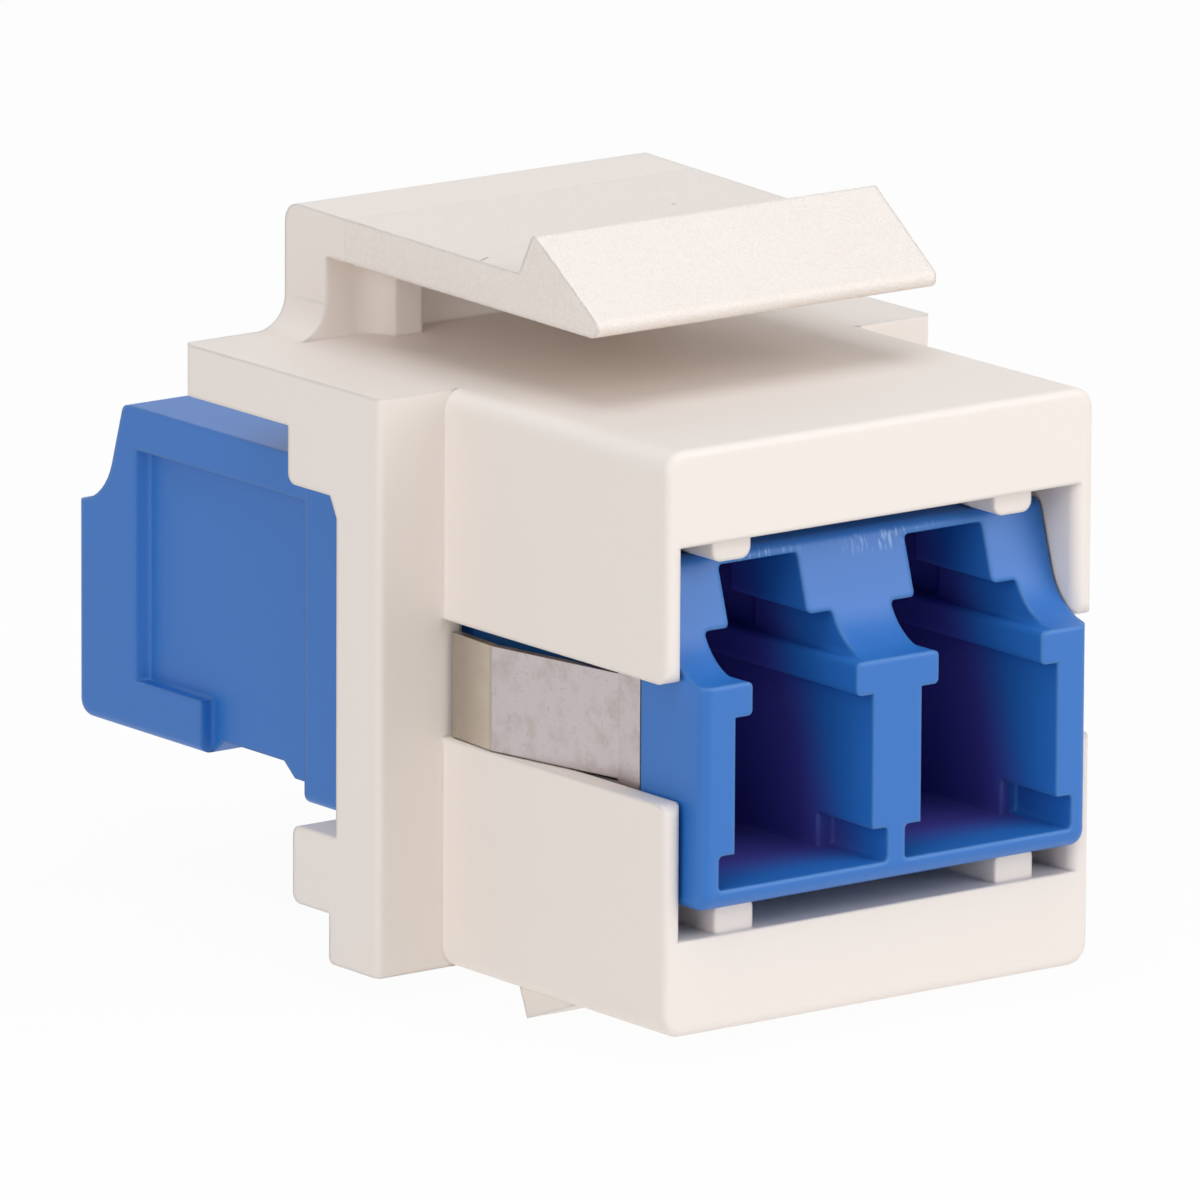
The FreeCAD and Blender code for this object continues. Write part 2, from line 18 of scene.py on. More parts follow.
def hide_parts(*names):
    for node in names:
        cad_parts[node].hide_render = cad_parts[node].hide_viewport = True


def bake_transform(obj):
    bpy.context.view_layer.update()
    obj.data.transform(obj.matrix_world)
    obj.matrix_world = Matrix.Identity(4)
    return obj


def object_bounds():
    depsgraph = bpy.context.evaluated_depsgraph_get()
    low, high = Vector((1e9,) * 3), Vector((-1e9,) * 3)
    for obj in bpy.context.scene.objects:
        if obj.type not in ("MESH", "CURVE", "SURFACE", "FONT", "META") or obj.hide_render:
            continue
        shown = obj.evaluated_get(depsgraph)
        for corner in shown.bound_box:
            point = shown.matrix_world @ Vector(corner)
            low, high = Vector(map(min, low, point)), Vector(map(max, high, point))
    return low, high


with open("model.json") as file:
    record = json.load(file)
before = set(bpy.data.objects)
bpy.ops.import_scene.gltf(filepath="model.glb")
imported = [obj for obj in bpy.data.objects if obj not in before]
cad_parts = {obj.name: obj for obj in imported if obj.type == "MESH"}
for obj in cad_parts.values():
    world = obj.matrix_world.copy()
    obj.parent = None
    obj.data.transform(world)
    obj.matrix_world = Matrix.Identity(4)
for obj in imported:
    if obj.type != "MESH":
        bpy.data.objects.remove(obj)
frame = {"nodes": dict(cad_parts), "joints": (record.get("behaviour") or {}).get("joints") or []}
nodes = frame["nodes"]
MM = 0.001
cad_low, cad_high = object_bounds()
print("nodes:", sorted(nodes))
print("size in mm:", [round(side / MM, 2) for side in cad_high - cad_low])

# %% [markdown]
# ## Camera
# A part two centimetres long is shot with a very long lens from half a metre, so that its parallel
# edges stay nearly parallel. The camera could be placed by hand, but three turns say it more clearly:
# round the part, above it, and a hair of roll. The lens follows from how much of the view the part fills.

# %% Camera
VIEW_TURN = math.radians(-37.26)
VIEW_HEIGHT = math.radians(12.99)
VIEW_ROLL = math.radians(0.31)
VIEW_DISTANCE = 468.2 * MM
VIEW_CENTRE = Vector((-3.30, -1.80, 2.01)) * MM
VIEW_WIDTH = 32.17 * MM


def add_camera():
    """A long lens at VIEW_DISTANCE from VIEW_CENTRE, whose frame is VIEW_WIDTH wide at the part."""
    turn = Matrix.Rotation(VIEW_TURN, 3, "Z") @ Matrix.Rotation(math.pi / 2 - VIEW_HEIGHT, 3, "X")
    turn = turn @ Matrix.Rotation(VIEW_ROLL, 3, "Z")
    data = bpy.data.cameras.new("camera")
    data.lens = data.sensor_width * VIEW_DISTANCE / VIEW_WIDTH
    data.clip_start = VIEW_DISTANCE / 10
    camera = bpy.data.objects.new("camera", data)
    camera.location = VIEW_CENTRE + turn @ Vector((0, 0, VIEW_DISTANCE))
    camera.rotation_euler = turn.to_euler()
    bpy.context.scene.collection.objects.link(camera)
    bpy.context.scene.camera = camera
    print("lens:", round(data.lens, 1), "mm")


add_camera()

# %% [markdown]
# ## Small helpers for node trees
# A material is a graph, and a graph written link by link is hard to read. A few helpers keep each
# material short: they add a node and plug in its inputs, do arithmetic, mix two colours, stretch a range,
# and open or place a node group with named sockets. A value may be a number, a colour or the output of
# another node.


# %% Node helpers
def plug(tree, socket, value):
    """Link an output socket, or set a plain value."""
    if isinstance(value, bpy.types.NodeSocket):
        tree.links.new(value, socket)
    elif value is not None:
        socket.default_value = value


def add(tree, kind, inputs=None, **settings):
    """A node of the given kind, with its settings and its inputs by name or number."""
    node = tree.nodes.new(kind)
    for name, value in settings.items():
        setattr(node, name, value)
    for key, value in (inputs or {}).items():
        plug(tree, node.inputs[key], value)
    return node


def calc(tree, operation, first, second=0.0, clamp=False):
    """One step of arithmetic."""
    return add(tree, "ShaderNodeMath", {0: first, 1: second}, operation=operation, use_clamp=clamp).outputs[0]


def times(tree, first, second):
    """The product of two values, which joins two masks or weakens one."""
    return calc(tree, "MULTIPLY", first, second)


def blend(tree, share, first, second):
    """Mix of two colours by a share from 0 to 1. The node's sockets for colours are its 6th and 7th."""
    return add(tree, "ShaderNodeMix", {0: share, 6: first, 7: second}, data_type="RGBA").outputs[2]


def spread(tree, value, low, high, to_low=0.0, to_high=1.0):
    """Stretch values between low and high to a new range, held at both ends."""
    inputs = {"Value": value, "From Min": low, "From Max": high, "To Min": to_low, "To Max": to_high}
    return add(tree, "ShaderNodeMapRange", inputs, clamp=True).outputs[0]


def new_group(name, inputs, outputs):
    """A shader node group with named sockets: {name: (kind, default)} in, {name: kind} out."""
    tree = bpy.data.node_groups.new(name, "ShaderNodeTree")
    for socket_name, (kind, default) in inputs.items():
        socket = tree.interface.new_socket(socket_name, in_out="INPUT", socket_type="NodeSocket" + kind)
        socket.default_value = default
    for socket_name, kind in outputs.items():
        tree.interface.new_socket(socket_name, in_out="OUTPUT", socket_type="NodeSocket" + kind)
    return tree, tree.nodes.new("NodeGroupInput").outputs, tree.nodes.new("NodeGroupOutput").inputs


def place(tree, group, **values):
    """Put a group into a material with its own values; underscores stand for spaces."""
    node = tree.nodes.new("ShaderNodeGroup")
    node.node_tree = group
    for name, value in values.items():
        plug(tree, node.inputs[name.replace("_", " ")], value)
    return node.outputs


# %% [markdown]
# ## Where a point was moulded
# The pattern of a moulding should stay on it when it moves. A solid that turns takes its Object
# coordinates along, but the latch bends: its copy keeps the place of every corner at rest as an
# attribute, and place = object (1 - alpha) + vector.
#
# Known fault: where there is no such attribute the renderer gives a vector of 0 but an alpha of 1. The
# place is then 0 on every piece except the bending latch, so their grain and their marks don't show. A
# float attribute that is 1 on the latch would be 0 where it is missing, and could stand for the alpha.


# %% Moulded place
REST_PLACE = "rest_place"


def object_place(tree):
    """Object coordinates, which are the part's own frame."""
    return add(tree, "ShaderNodeTexCoord").outputs["Object"]


def axes_of(tree, where):
    """The X, Y and Z of a place as three values."""
    return add(tree, "ShaderNodeSeparateXYZ", {0: where}).outputs


def stretched(tree, where, scale):
    """A place with its own scale on each axis, for a noise that runs in one direction."""
    return add(tree, "ShaderNodeMapping", {"Vector": where, "Scale": scale}).outputs[0]


def moulded_place(tree):
    """The place of a point when nothing is bent, in the part's frame."""
    kept = add(tree, "ShaderNodeAttribute", attribute_name=REST_PLACE).outputs
    without = calc(tree, "SUBTRACT", 1.0, kept["Alpha"])
    share = {0: object_place(tree), "Scale": without}
    where = add(tree, "ShaderNodeVectorMath", share, operation="SCALE").outputs["Vector"]
    both = {0: where, 1: kept["Vector"]}
    return add(tree, "ShaderNodeVectorMath", both, operation="ADD").outputs["Vector"]


# %% [markdown]
# ## Soft edges
# Nothing that comes out of a mould has a knife edge: the corners of these walls are broken by one or two
# tenths of a millimetre, and that thin round is what catches the light. It could be modelled on every
# edge, but the shader's Bevel node does it on the finished solids: it looks for nearby faces and turns
# the normal across the corner. Where that normal leaves the flat face's own one, there is an edge, and
# this gives a mask for the polish and the paler rub marks that edges get from handling.
#
# The latch and its housing are one moulding on the real part, cut here only so that the latch can bend.
# The cut must not look like an edge, so close to it the group takes out the part of the normal that
# leans along the arm. With the fault above this works on the arm alone, and a faint seam shows.


# %% Group: soft edges
def make_soft_edges():
    """Normal turned round the corners, and an edge mask from how far it has turned."""
    tree, given, out = new_group("soft edges", {"Radius": ("Float", 0.0001), "Whole": ("Float", 0.0)},
                                 {"Normal": "Vector", "Edge": "Float"})
    bevel = add(tree, "ShaderNodeBevel", {"Radius": given["Radius"]}, samples=6).outputs[0]
    leaning = calc(tree, "SUBTRACT", 1.0, given["Whole"])
    keep = add(tree, "ShaderNodeCombineXYZ", {0: 1.0, 1: leaning, 2: 1.0})
    level = add(tree, "ShaderNodeVectorMath", {0: bevel, 1: keep.outputs[0]}, operation="MULTIPLY")
    turned = add(tree, "ShaderNodeVectorMath", {0: level.outputs[0]}, operation="NORMALIZE").outputs[0]
    face = add(tree, "ShaderNodeNewGeometry").outputs["Normal"]
    same = add(tree, "ShaderNodeVectorMath", {0: turned, 1: face}, operation="DOT_PRODUCT")
    plug(tree, out["Normal"], turned)
    plug(tree, out["Edge"], spread(tree, same.outputs["Value"], 0.995, 0.8))
    return tree


def near_latch_root(tree):
    """1 above the root of the latch, where arm and housing are one, and 0 elsewhere."""
    root = Vector(frame["joints"][0]["pos_m"])
    axes = axes_of(tree, moulded_place(tree))
    off = calc(tree, "ABSOLUTE", calc(tree, "SUBTRACT", axes["Y"], root.y))
    beside = spread(tree, off, 0.30 * MM, 0.20 * MM)
    above = spread(tree, axes["Z"], root.z + 0.02 * MM, root.z + 0.06 * MM)
    return times(tree, beside, above)


soft_edges = make_soft_edges()

# %% [markdown]
# ## Moulded grain
# The mould of such a housing is finished by spark erosion, which leaves a fine, even, slightly
# glittering texture: pits of a few hundredths of a millimetre with no direction. One noise pattern gives
# the pits, and a second, coarser one the slow change of shade that filled plastic shows. Both read the
# moulded place, so they stay where they are when the latch bends.


# %% Group: moulded grain
def make_moulded_grain():
    """Height of the pits, their shade, a slow cloud of shade, and rare specks for painted glints, each from 0
    to 1.
    """
    tree, given, out = new_group(
        "moulded grain",
        {"Pits per mm": ("Float", 9.0), "Cloud per mm": ("Float", 0.25)},
        {"Height": "Float", "Cloud": "Float", "Fine": "Float", "Glints": "Float"})
    where = moulded_place(tree)
    pits = times(tree, given["Pits per mm"], 1 / MM)
    cloud = times(tree, given["Cloud per mm"], 1 / MM)
    fine = add(tree, "ShaderNodeTexNoise",
               {"Vector": where, "Scale": pits, "Detail": 2.0, "Roughness": 0.6}).outputs["Fac"]
    slow = add(tree, "ShaderNodeTexNoise",
               {"Vector": where, "Scale": cloud, "Detail": 3.0, "Roughness": 0.55}).outputs["Fac"]
    plug(tree, out["Height"], fine)
    plug(tree, out["Fine"], spread(tree, fine, 0.35, 0.65))
    plug(tree, out["Cloud"], spread(tree, slow, 0.35, 0.65))
    # Specks of the brightest pits, which the adapter paints pale as painted glints.
    plug(tree, out["Glints"], spread(tree, fine, 0.56, 0.70))
    return tree


moulded_grain = make_moulded_grain()
PITS_PER_MM = 13.0
PIT_DEPTH = 0.04 * MM
PIT_STRENGTH = 0.8


def grained_normal(tree, height, edges, strength=PIT_STRENGTH, depth=PIT_DEPTH):
    """The normal with soft edges, roughened by a height pattern."""
    inputs = {"Strength": strength, "Distance": depth, "Height": height, "Normal": edges["Normal"]}
    return add(tree, "ShaderNodeBump", inputs).outputs[0]


def plastic_roughness(tree, grain, edges, smooth, rough, polish):
    """Roughness between smooth and rough with the grain, lowered by polish at the edges."""
    face = spread(tree, grain["Fine"], 0, 1, smooth, rough)
    return calc(tree, "SUBTRACT", face, times(tree, edges["Edge"], polish))


# %% [markdown]
# ## Small marks
# A part that has been handled has a nick here and a speck there. Each one is a short stroke in space: the
# distance from a point of the surface to a line between two ends, compared with the stroke's width. The
# formula is the one for the nearest point on a segment, p = a + t (b - a), with t held between 0 and 1.


# %% Group: small mark
def make_small_mark():
    """Mask of a stroke from Start to End, 1 in its middle and 0 beyond its Width."""
    tree, given, out = new_group(
        "small mark",
        {"Start": ("Vector", (0, 0, 0)), "End": ("Vector", (0, 0, 0)), "Width": ("Float", 0.0001)},
        {"Mask": "Float"})
    where = moulded_place(tree)

    def vector(operation, first, second, output="Vector"):
        return add(tree, "ShaderNodeVectorMath", {0: first, 1: second}, operation=operation).outputs[output]

    along = vector("SUBTRACT", given["End"], given["Start"])
    towards = vector("SUBTRACT", where, given["Start"])
    length = vector("DOT_PRODUCT", along, along, "Value")
    share = calc(tree, "DIVIDE", vector("DOT_PRODUCT", towards, along, "Value"), length, clamp=True)
    stretch = add(tree, "ShaderNodeVectorMath", {0: along, "Scale": share}, operation="SCALE").outputs
    away = vector("DISTANCE", towards, stretch["Vector"], "Value")
    ratio = calc(tree, "DIVIDE", away, given["Width"])
    plug(tree, out["Mask"], spread(tree, ratio, 1.0, 0.3))
    return tree


small_mark = make_small_mark()


# The same strokes also paint shade: a shadow line behind the clip's left wing, and the darker spot of a dent
# in the adapter.
def marked(tree, colour, strokes, tint):
    """The colour with strokes of another tint on it, each a start, an end and a width in mm, and a share."""
    for start, end, width, share in strokes:
        stroke = place(tree, small_mark, Start=Vector(start) * MM, End=Vector(end) * MM, Width=width * MM)
        colour = blend(tree, times(tree, stroke["Mask"], share), colour, tint)
    return colour


def new_material(name):
    """An empty material and its tree, with a Principled shader on the output."""
    material = bpy.data.materials.new(name)
    material.use_nodes = True
    return material, material.node_tree, material.node_tree.nodes["Principled BSDF"]


# %% [markdown]
# ## Housing plastic
# Light almond ABS, filled and opaque. Its face is satin: broad soft highlights, a fine grain, and
# slightly polished, paler edges. The shadows of such plastic look warmer than its lit faces, because the
# light in them has met the almond colour two or three times; path tracing gives that by itself, as long
# as the colour is as warm as the real pellets and the lamps are a touch cool.
#
# Its marks are strokes: a nick and two specks on the arm, a groove on the side of the shelf, a painted
# shadow line behind the clip's left wing where the slot's gap is, a dot, a hair of flash on the front, and
# two pale scuffs on the block. With the fault above only those on the arm show.

# %% Housing plastic
HOUSING_EDGE_R = 0.18 * MM
HOUSING_COLOUR = (0.830, 0.740, 0.665, 1)
HOUSING_WARM = (0.810, 0.712, 0.630, 1)
HOUSING_EDGE = (0.900, 0.830, 0.770, 1)
# One dark colour serves as real dirt for the small marks and as painted shade for the line behind the clip's
# wing.
DIRT_AND_PAINTED_SHADE = (0.25, 0.20, 0.16, 1)
DARK_STROKES = [
    ((-5.70, 0.36, 11.24), (-5.35, 0.55, 11.24), 0.06, 0.7),
    ((2.78, 3.00, 11.31), (2.80, 3.02, 11.31), 0.09, 0.45),
    ((1.66, 2.47, 11.30), (1.68, 2.48, 11.30), 0.06, 0.2),
    ((-9.35, 3.90, 6.356), (-9.35, 2.32, 6.243), 0.08, 0.25),
    # Painted shadow: a dark line on the flange face at the rear end of the left slot, for the gap behind the
    # clip's wing.
    ((-6.93, 0.00, -1.50), (-6.93, 0.00, 1.60), 0.26, 0.8),
    ((-7.20, -0.38, 6.73), (-7.20, -0.35, 6.73), 0.07, 0.25),
    ((6.71, -9.80, 6.54), (6.72, -9.80, 5.94), 0.05, 0.12),
]
PALE_STROKES = [
    ((-6.15, -4.55, 7.95), (-5.80, -4.30, 7.95), 0.07, 0.5),
    ((-5.85, -7.95, 7.95), (-5.70, -7.80, 7.95), 0.09, 0.4),
]


def make_housing_plastic():
    """Almond satin plastic with grain, soft paler edges, a few small marks of handling and a painted shadow
    line.
    """
    material, tree, shader = new_material("housing_plastic")
    edges = place(tree, soft_edges, Radius=HOUSING_EDGE_R, Whole=near_latch_root(tree))
    grain = place(tree, moulded_grain, Pits_per_mm=PITS_PER_MM, Cloud_per_mm=0.22)
    colour = blend(tree, times(tree, grain["Cloud"], 0.5), HOUSING_COLOUR, HOUSING_WARM)
    colour = blend(tree, times(tree, grain["Fine"], 0.6), colour, HOUSING_EDGE)
    colour = blend(tree, times(tree, edges["Edge"], 0.5), colour, HOUSING_EDGE)
    colour = marked(tree, colour, DARK_STROKES, DIRT_AND_PAINTED_SHADE)
    colour = marked(tree, colour, PALE_STROKES, HOUSING_EDGE)
    plug(tree, shader.inputs["Base Color"], colour)
    rough = plastic_roughness(tree, grain, edges, smooth=0.42, rough=0.56, polish=0.10)
    plug(tree, shader.inputs["Roughness"], rough)
    plug(tree, shader.inputs["Normal"], grained_normal(tree, grain["Height"], edges))
    return material


housing_plastic = make_housing_plastic()

# %% [markdown]
# ## Adapter plastic
# Single-mode adapters are moulded in a code blue. The plastic is a little glossier than the housing, and
# its rims are rubbed pale near both ends, where plugs and fingers pass: there is a band of fine scratches
# on the brow above the ports. Mostly near both ends, pale specks on the grain are painted glints for the
# glitter of its pits. Deep in the ports the blue is painted darker and more violet: painted shade, for
# light that has met the blue walls several times. The plane where that painted shade starts leans back
# with the brow, and it ends at the port's own walls, so the outside keeps its blue. A small dent on the
# side is painted as a darker spot, which is painted shade too. Scratches and the painted shade in the
# ports read Object coordinates and show; the grain, its painted glints and the painted dent are lost to
# the fault above.

# %% Adapter plastic
BLUE = (0.023, 0.163, 0.510, 1)
BLUE_DEEP = (0.017, 0.142, 0.480, 1)
# Pale blue of the rubbed rims, also used for the painted glints on the grain.
BLUE_RUBBED_AND_GLINT = (0.14, 0.40, 0.78, 1)
BLUE_SCRATCHED = (0.35, 0.55, 0.82, 1)
# Painted shade: a small dent on the side, not in the solid, painted as a darker spot.
BLUE_DENT_SHADE = (0.010, 0.070, 0.330, 1)
BLUE_DENTS = [((-6.55, 7.05, -3.00), (-6.55, 7.35, -3.10), 0.40, 0.7)]
# Painted shade: the colour the blue is darkened to deep in the ports.
BLUE_PAINTED_SHADE = (0.085, 0.075, 0.370, 1)
BLUE_EDGE_R = 0.20 * MM
PORT_HALF_W = 5.75 * MM
PORT_FLOOR = 0.92 * MM
PORT_CEILING = 0.2 * MM
BROW_SLOPE = 0.36
BROW_HALF_W = 6.4 * MM
BROW_FROM_MIDDLE = 11.9 * MM

shells = [nodes["adapter_front_shell"], nodes["adapter_rear_shell"]]
shell_corners = np.array([corner[:] for shell in shells for corner in shell.bound_box])
low, high = shell_corners.min(0), shell_corners.max(0)
print("adapter:", np.round((high - low) / MM, 2), "mm")


def from_middle(tree):
    """Distance along Y from the joint of the two halves, so that both ends look alike."""
    along = axes_of(tree, object_place(tree))["Y"]
    return calc(tree, "ABSOLUTE", calc(tree, "SUBTRACT", along, (low[1] + high[1]) / 2))


def within(tree, value, half):
    """1 where a value lies within half to either side of 0."""
    return calc(tree, "LESS_THAN", calc(tree, "ABSOLUTE", value), half)


def painted_port_shade(tree):
    """Mask of the painted shade in the ports: 0 at the mouths and 1 from a few millimetres inside; it follows
    the slope of the brow.
    """
    axes = axes_of(tree, object_place(tree))
    depth = calc(tree, "SUBTRACT", (high[1] - low[1]) / 2, from_middle(tree))
    depth = calc(tree, "SUBTRACT", depth, times(tree, calc(tree, "SUBTRACT", axes["Z"], low[2]), BROW_SLOPE))
    deep = spread(tree, depth, 0.5 * MM, 2.2 * MM)
    above = calc(tree, "GREATER_THAN", axes["Z"], low[2] + PORT_FLOOR)
    under = calc(tree, "LESS_THAN", axes["Z"], high[2] - PORT_CEILING)
    inside = times(tree, within(tree, axes["X"], PORT_HALF_W), times(tree, above, under))
    return times(tree, deep, inside)


def brow_scratches(tree):
    """Short pale scratches in a band under the top edge of both brows, where fingers and plugs rub."""
    where = object_place(tree)
    axes = axes_of(tree, where)
    band = times(tree, spread(tree, axes["Z"], 4.00 * MM, 4.25 * MM),
                 spread(tree, axes["Z"], 4.62 * MM, 4.50 * MM))
    thin = stretched(tree, where, (11 / MM, 2.2 / MM, 2.2 / MM))
    lines = add(tree, "ShaderNodeTexNoise", {"Vector": thin, "Scale": 1.0, "Detail": 2.0}).outputs["Fac"]
    patches = add(tree, "ShaderNodeTexNoise",
                  {"Vector": where, "Scale": 0.35 / MM, "Detail": 1.0}).outputs["Fac"]
    mask = times(tree, spread(tree, lines, 0.54, 0.64), spread(tree, patches, 0.46, 0.56))
    on_brow = times(tree, calc(tree, "GREATER_THAN", from_middle(tree), BROW_FROM_MIDDLE),
                    within(tree, axes["X"], BROW_HALF_W))
    return times(tree, times(tree, band, on_brow), mask)


def make_adapter_plastic():
    """Code blue satin plastic with grain, rubbed rims, painted glints, scratched brows, a painted dent and
    painted shade deep in the ports.
    """
    material, tree, shader = new_material("adapter_plastic")
    edges = place(tree, soft_edges, Radius=BLUE_EDGE_R)
    grain = place(tree, moulded_grain, Pits_per_mm=PITS_PER_MM, Cloud_per_mm=0.3)
    colour = blend(tree, grain["Cloud"], BLUE, BLUE_DEEP)
    colour = marked(tree, colour, BLUE_DENTS, BLUE_DENT_SHADE)
    near_ends = spread(tree, from_middle(tree), 10.8 * MM, 11.8 * MM, 0.1, 1.0)
    rims = times(tree, edges["Edge"], spread(tree, grain["Fine"], 0, 1, 0.1, 0.6))
    # Painted glints: pale specks on the grain, mostly near both ends, stand in for the glitter of its pits.
    glint_specks = times(tree, grain["Glints"], times(tree, near_ends, 0.4))
    rub_and_glints = calc(tree, "MAXIMUM", times(tree, rims, near_ends), glint_specks)
    colour = blend(tree, rub_and_glints, colour, BLUE_RUBBED_AND_GLINT)
    colour = blend(tree, times(tree, brow_scratches(tree), 0.55), colour, BLUE_SCRATCHED)
    # Painted shade: deep in the ports the blue is darkened towards indigo.
    colour = blend(tree, painted_port_shade(tree), colour, BLUE_PAINTED_SHADE)
    plug(tree, shader.inputs["Base Color"], colour)
    rough = plastic_roughness(tree, grain, edges, smooth=0.36, rough=0.48, polish=0.06)
    plug(tree, shader.inputs["Roughness"], rough)
    plug(tree, shader.inputs["Normal"], grained_normal(tree, grain["Height"], edges))
    return material


adapter_plastic = make_adapter_plastic()

# %% [markdown]
# ## Clip steel
# Cold-rolled stainless strip has a dull mirror face with a faint cloud of stains, and its cut edges are
# darker. Rolling leaves streaks along the strip, so one noise is stretched along the part's length. The
# wing has painted reflections in two zones, for how its bent strip reflects: pale and yellowish behind
# its bend, and a little warmer at its front end.

# %% Clip steel
STEEL = (0.53, 0.470, 0.480, 1)
STEEL_STAIN = (0.36, 0.32, 0.27, 1)
STEEL_REFLECTION_WARM = (0.50, 0.455, 0.39, 1)
STEEL_REFLECTION_PALE = (0.70, 0.655, 0.555, 1)
STEEL_EDGE_R = 0.04 * MM
ROLLING_DEPTH = 0.006 * MM
ROLLING_STRENGTH = 0.25


def make_clip_steel():
    """Stainless strip: streaks along Y, stains, dull edges, and painted reflections on the wing."""
    material, tree, shader = new_material("clip_steel")
    where = object_place(tree)
    edges = place(tree, soft_edges, Radius=STEEL_EDGE_R)
    rolled = stretched(tree, where, (12 / MM, 0.8 / MM, 12 / MM))
    streaks = add(tree, "ShaderNodeTexNoise", {"Vector": rolled, "Scale": 1.0, "Detail": 3.0}).outputs["Fac"]
    stains = add(tree, "ShaderNodeTexNoise",
                 {"Vector": where, "Scale": 1.6 / MM, "Detail": 4.0, "Roughness": 0.6}).outputs["Fac"]
    stain = spread(tree, stains, 0.48, 0.68)
    pits = add(tree, "ShaderNodeTexNoise", {"Vector": where, "Scale": 9 / MM, "Detail": 1.0}).outputs["Fac"]
    pit = spread(tree, pits, 0.66, 0.72)
    along = axes_of(tree, where)["Y"]
    # Painted reflections of the wing: pale behind its bend, warmer and darker towards the rear end, and
    # warmer at its front end.
    rear = spread(tree, along, -2.15 * MM, -1.95 * MM)
    front = spread(tree, along, -7.60 * MM, -7.65 * MM)
    rear_reflection = blend(tree, spread(tree, along, -2.0 * MM, -0.7 * MM), STEEL_REFLECTION_PALE, STEEL_REFLECTION_WARM)
    colour = blend(tree, times(tree, stain, 0.45), STEEL, STEEL_STAIN)
    colour = blend(tree, times(tree, pit, 0.5), colour, STEEL_STAIN)
    colour = blend(tree, times(tree, rear, 0.85), colour, rear_reflection)
    colour = blend(tree, times(tree, front, 0.30), colour, STEEL_REFLECTION_WARM)
    colour = blend(tree, times(tree, edges["Edge"], 0.5), colour, STEEL_STAIN)
    plug(tree, shader.inputs["Base Color"], colour)
    shader.inputs["Metallic"].default_value = 1.0
    rough = calc(tree, "ADD", spread(tree, streaks, 0.3, 0.7, 0.30, 0.38), times(tree, stain, 0.12))
    plug(tree, shader.inputs["Roughness"], rough)
    normal = grained_normal(tree, streaks, edges, ROLLING_STRENGTH, ROLLING_DEPTH)
    plug(tree, shader.inputs["Normal"], normal)
    return material


clip_steel = make_clip_steel()

# %% [markdown]
# ## Sleeve ceramic
# The split sleeves are ground zirconia: white, dense and glossy, with the finest of grinding lines.


# %% Sleeve ceramic
ZIRCONIA = (0.88, 0.87, 0.83, 1)
ZIRCONIA_GROUND = (0.83, 0.81, 0.76, 1)


def make_sleeve_ceramic():
    """White zirconia with fine grinding rings."""
    material, tree, shader = new_material("sleeve_ceramic")
    rings = add(tree, "ShaderNodeTexWave",
                {"Vector": object_place(tree), "Scale": 6 / MM, "Distortion": 0.4},
                bands_direction="Y").outputs["Fac"]
    plug(tree, shader.inputs["Base Color"], blend(tree, rings, ZIRCONIA_GROUND, ZIRCONIA))
    plug(tree, shader.inputs["Roughness"], spread(tree, rings, 0, 1, 0.16, 0.24))
    return material


sleeve_ceramic = make_sleeve_ceramic()

# %% [markdown]
# ## Bending latch
# The arm of the latch is one moulding with the housing, and it bends when its barb is pressed. Its
# solid turns about a hinge at the root, which would open a crack in its top. A copy with cuts across its
# root end, between BEND_START and BEND_END, stands in for it: it has the same form, and the cuts are
# where it can bend without a crack. This script makes the copy and hides the solid arm; it does not
# bend it.

# %% Bending latch
BEND_START = 4.4 * MM
BEND_END = 6.2 * MM
BEND_CUTS = 9


def make_bending_latch():
    """The arm's own mesh, cut across between BEND_START and BEND_END, where it goes over into the housing."""
    arm = bmesh.new()
    arm.from_mesh(nodes["latch_arm"].data)
    for y in np.linspace(BEND_START, BEND_END, BEND_CUTS, endpoint=False):
        everything = arm.verts[:] + arm.edges[:] + arm.faces[:]
        bmesh.ops.bisect_plane(arm, geom=everything, plane_co=(0, y, 0), plane_no=(0, 1, 0))
    mesh = bpy.data.meshes.new("bending_latch")
    arm.to_mesh(mesh)
    arm.free()
    rest = mesh.attributes.new(REST_PLACE, "FLOAT_VECTOR", "POINT")
    corners = np.array([corner.co for corner in mesh.vertices], np.float32)
    rest.data.foreach_set("vector", corners.ravel())
    mesh.materials.append(housing_plastic)
    latch = bpy.data.objects.new("bending_latch", mesh)
    bpy.context.scene.collection.objects.link(latch)
    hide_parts("latch_arm")
    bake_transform(latch)
    print("bending latch:", len(mesh.vertices), "corners,", len(mesh.polygons), "faces")


make_bending_latch()

# %% [markdown]
# ## Dress the pieces
# The other forms are right as they are, so each solid keeps its mesh and only gets its finish.

# %% Dress the pieces
FINISHES = {
    "keystone_housing": housing_plastic,
    "latch_arm": housing_plastic,
    "adapter_front_shell": adapter_plastic,
    "adapter_rear_shell": adapter_plastic,
    "alignment_sleeve_left": sleeve_ceramic,
    "alignment_sleeve_right": sleeve_ceramic,
    "retaining_clip": clip_steel,
}
for name, material in FINISHES.items():
    for slot in nodes[name].material_slots:
        slot.material = material
    print(name, "->", material.name)

# %% [markdown]
# ## Studio
# A small part on a white sweep, with five soft boxes: a large one in front and to the right, two on the
# left, a broad one overhead, and a weak one behind, so that the back is lit too. They are a touch cool,
# and a weak warm world fills the shadows. The floor and the world are white to the camera and to
# reflections, and light the part at a lower level. From below the floor is clear, so the underside shows.

# %% Floor
FLOOR_HALF = 0.6
FLOOR_Z = cad_low.z
FLOOR_GLOW = 0.55
FLOOR_WHITE = 0.95
FLOOR_PAPER = (0.86, 0.86, 0.86, 1)
WHITE = (1, 1, 1, 1)


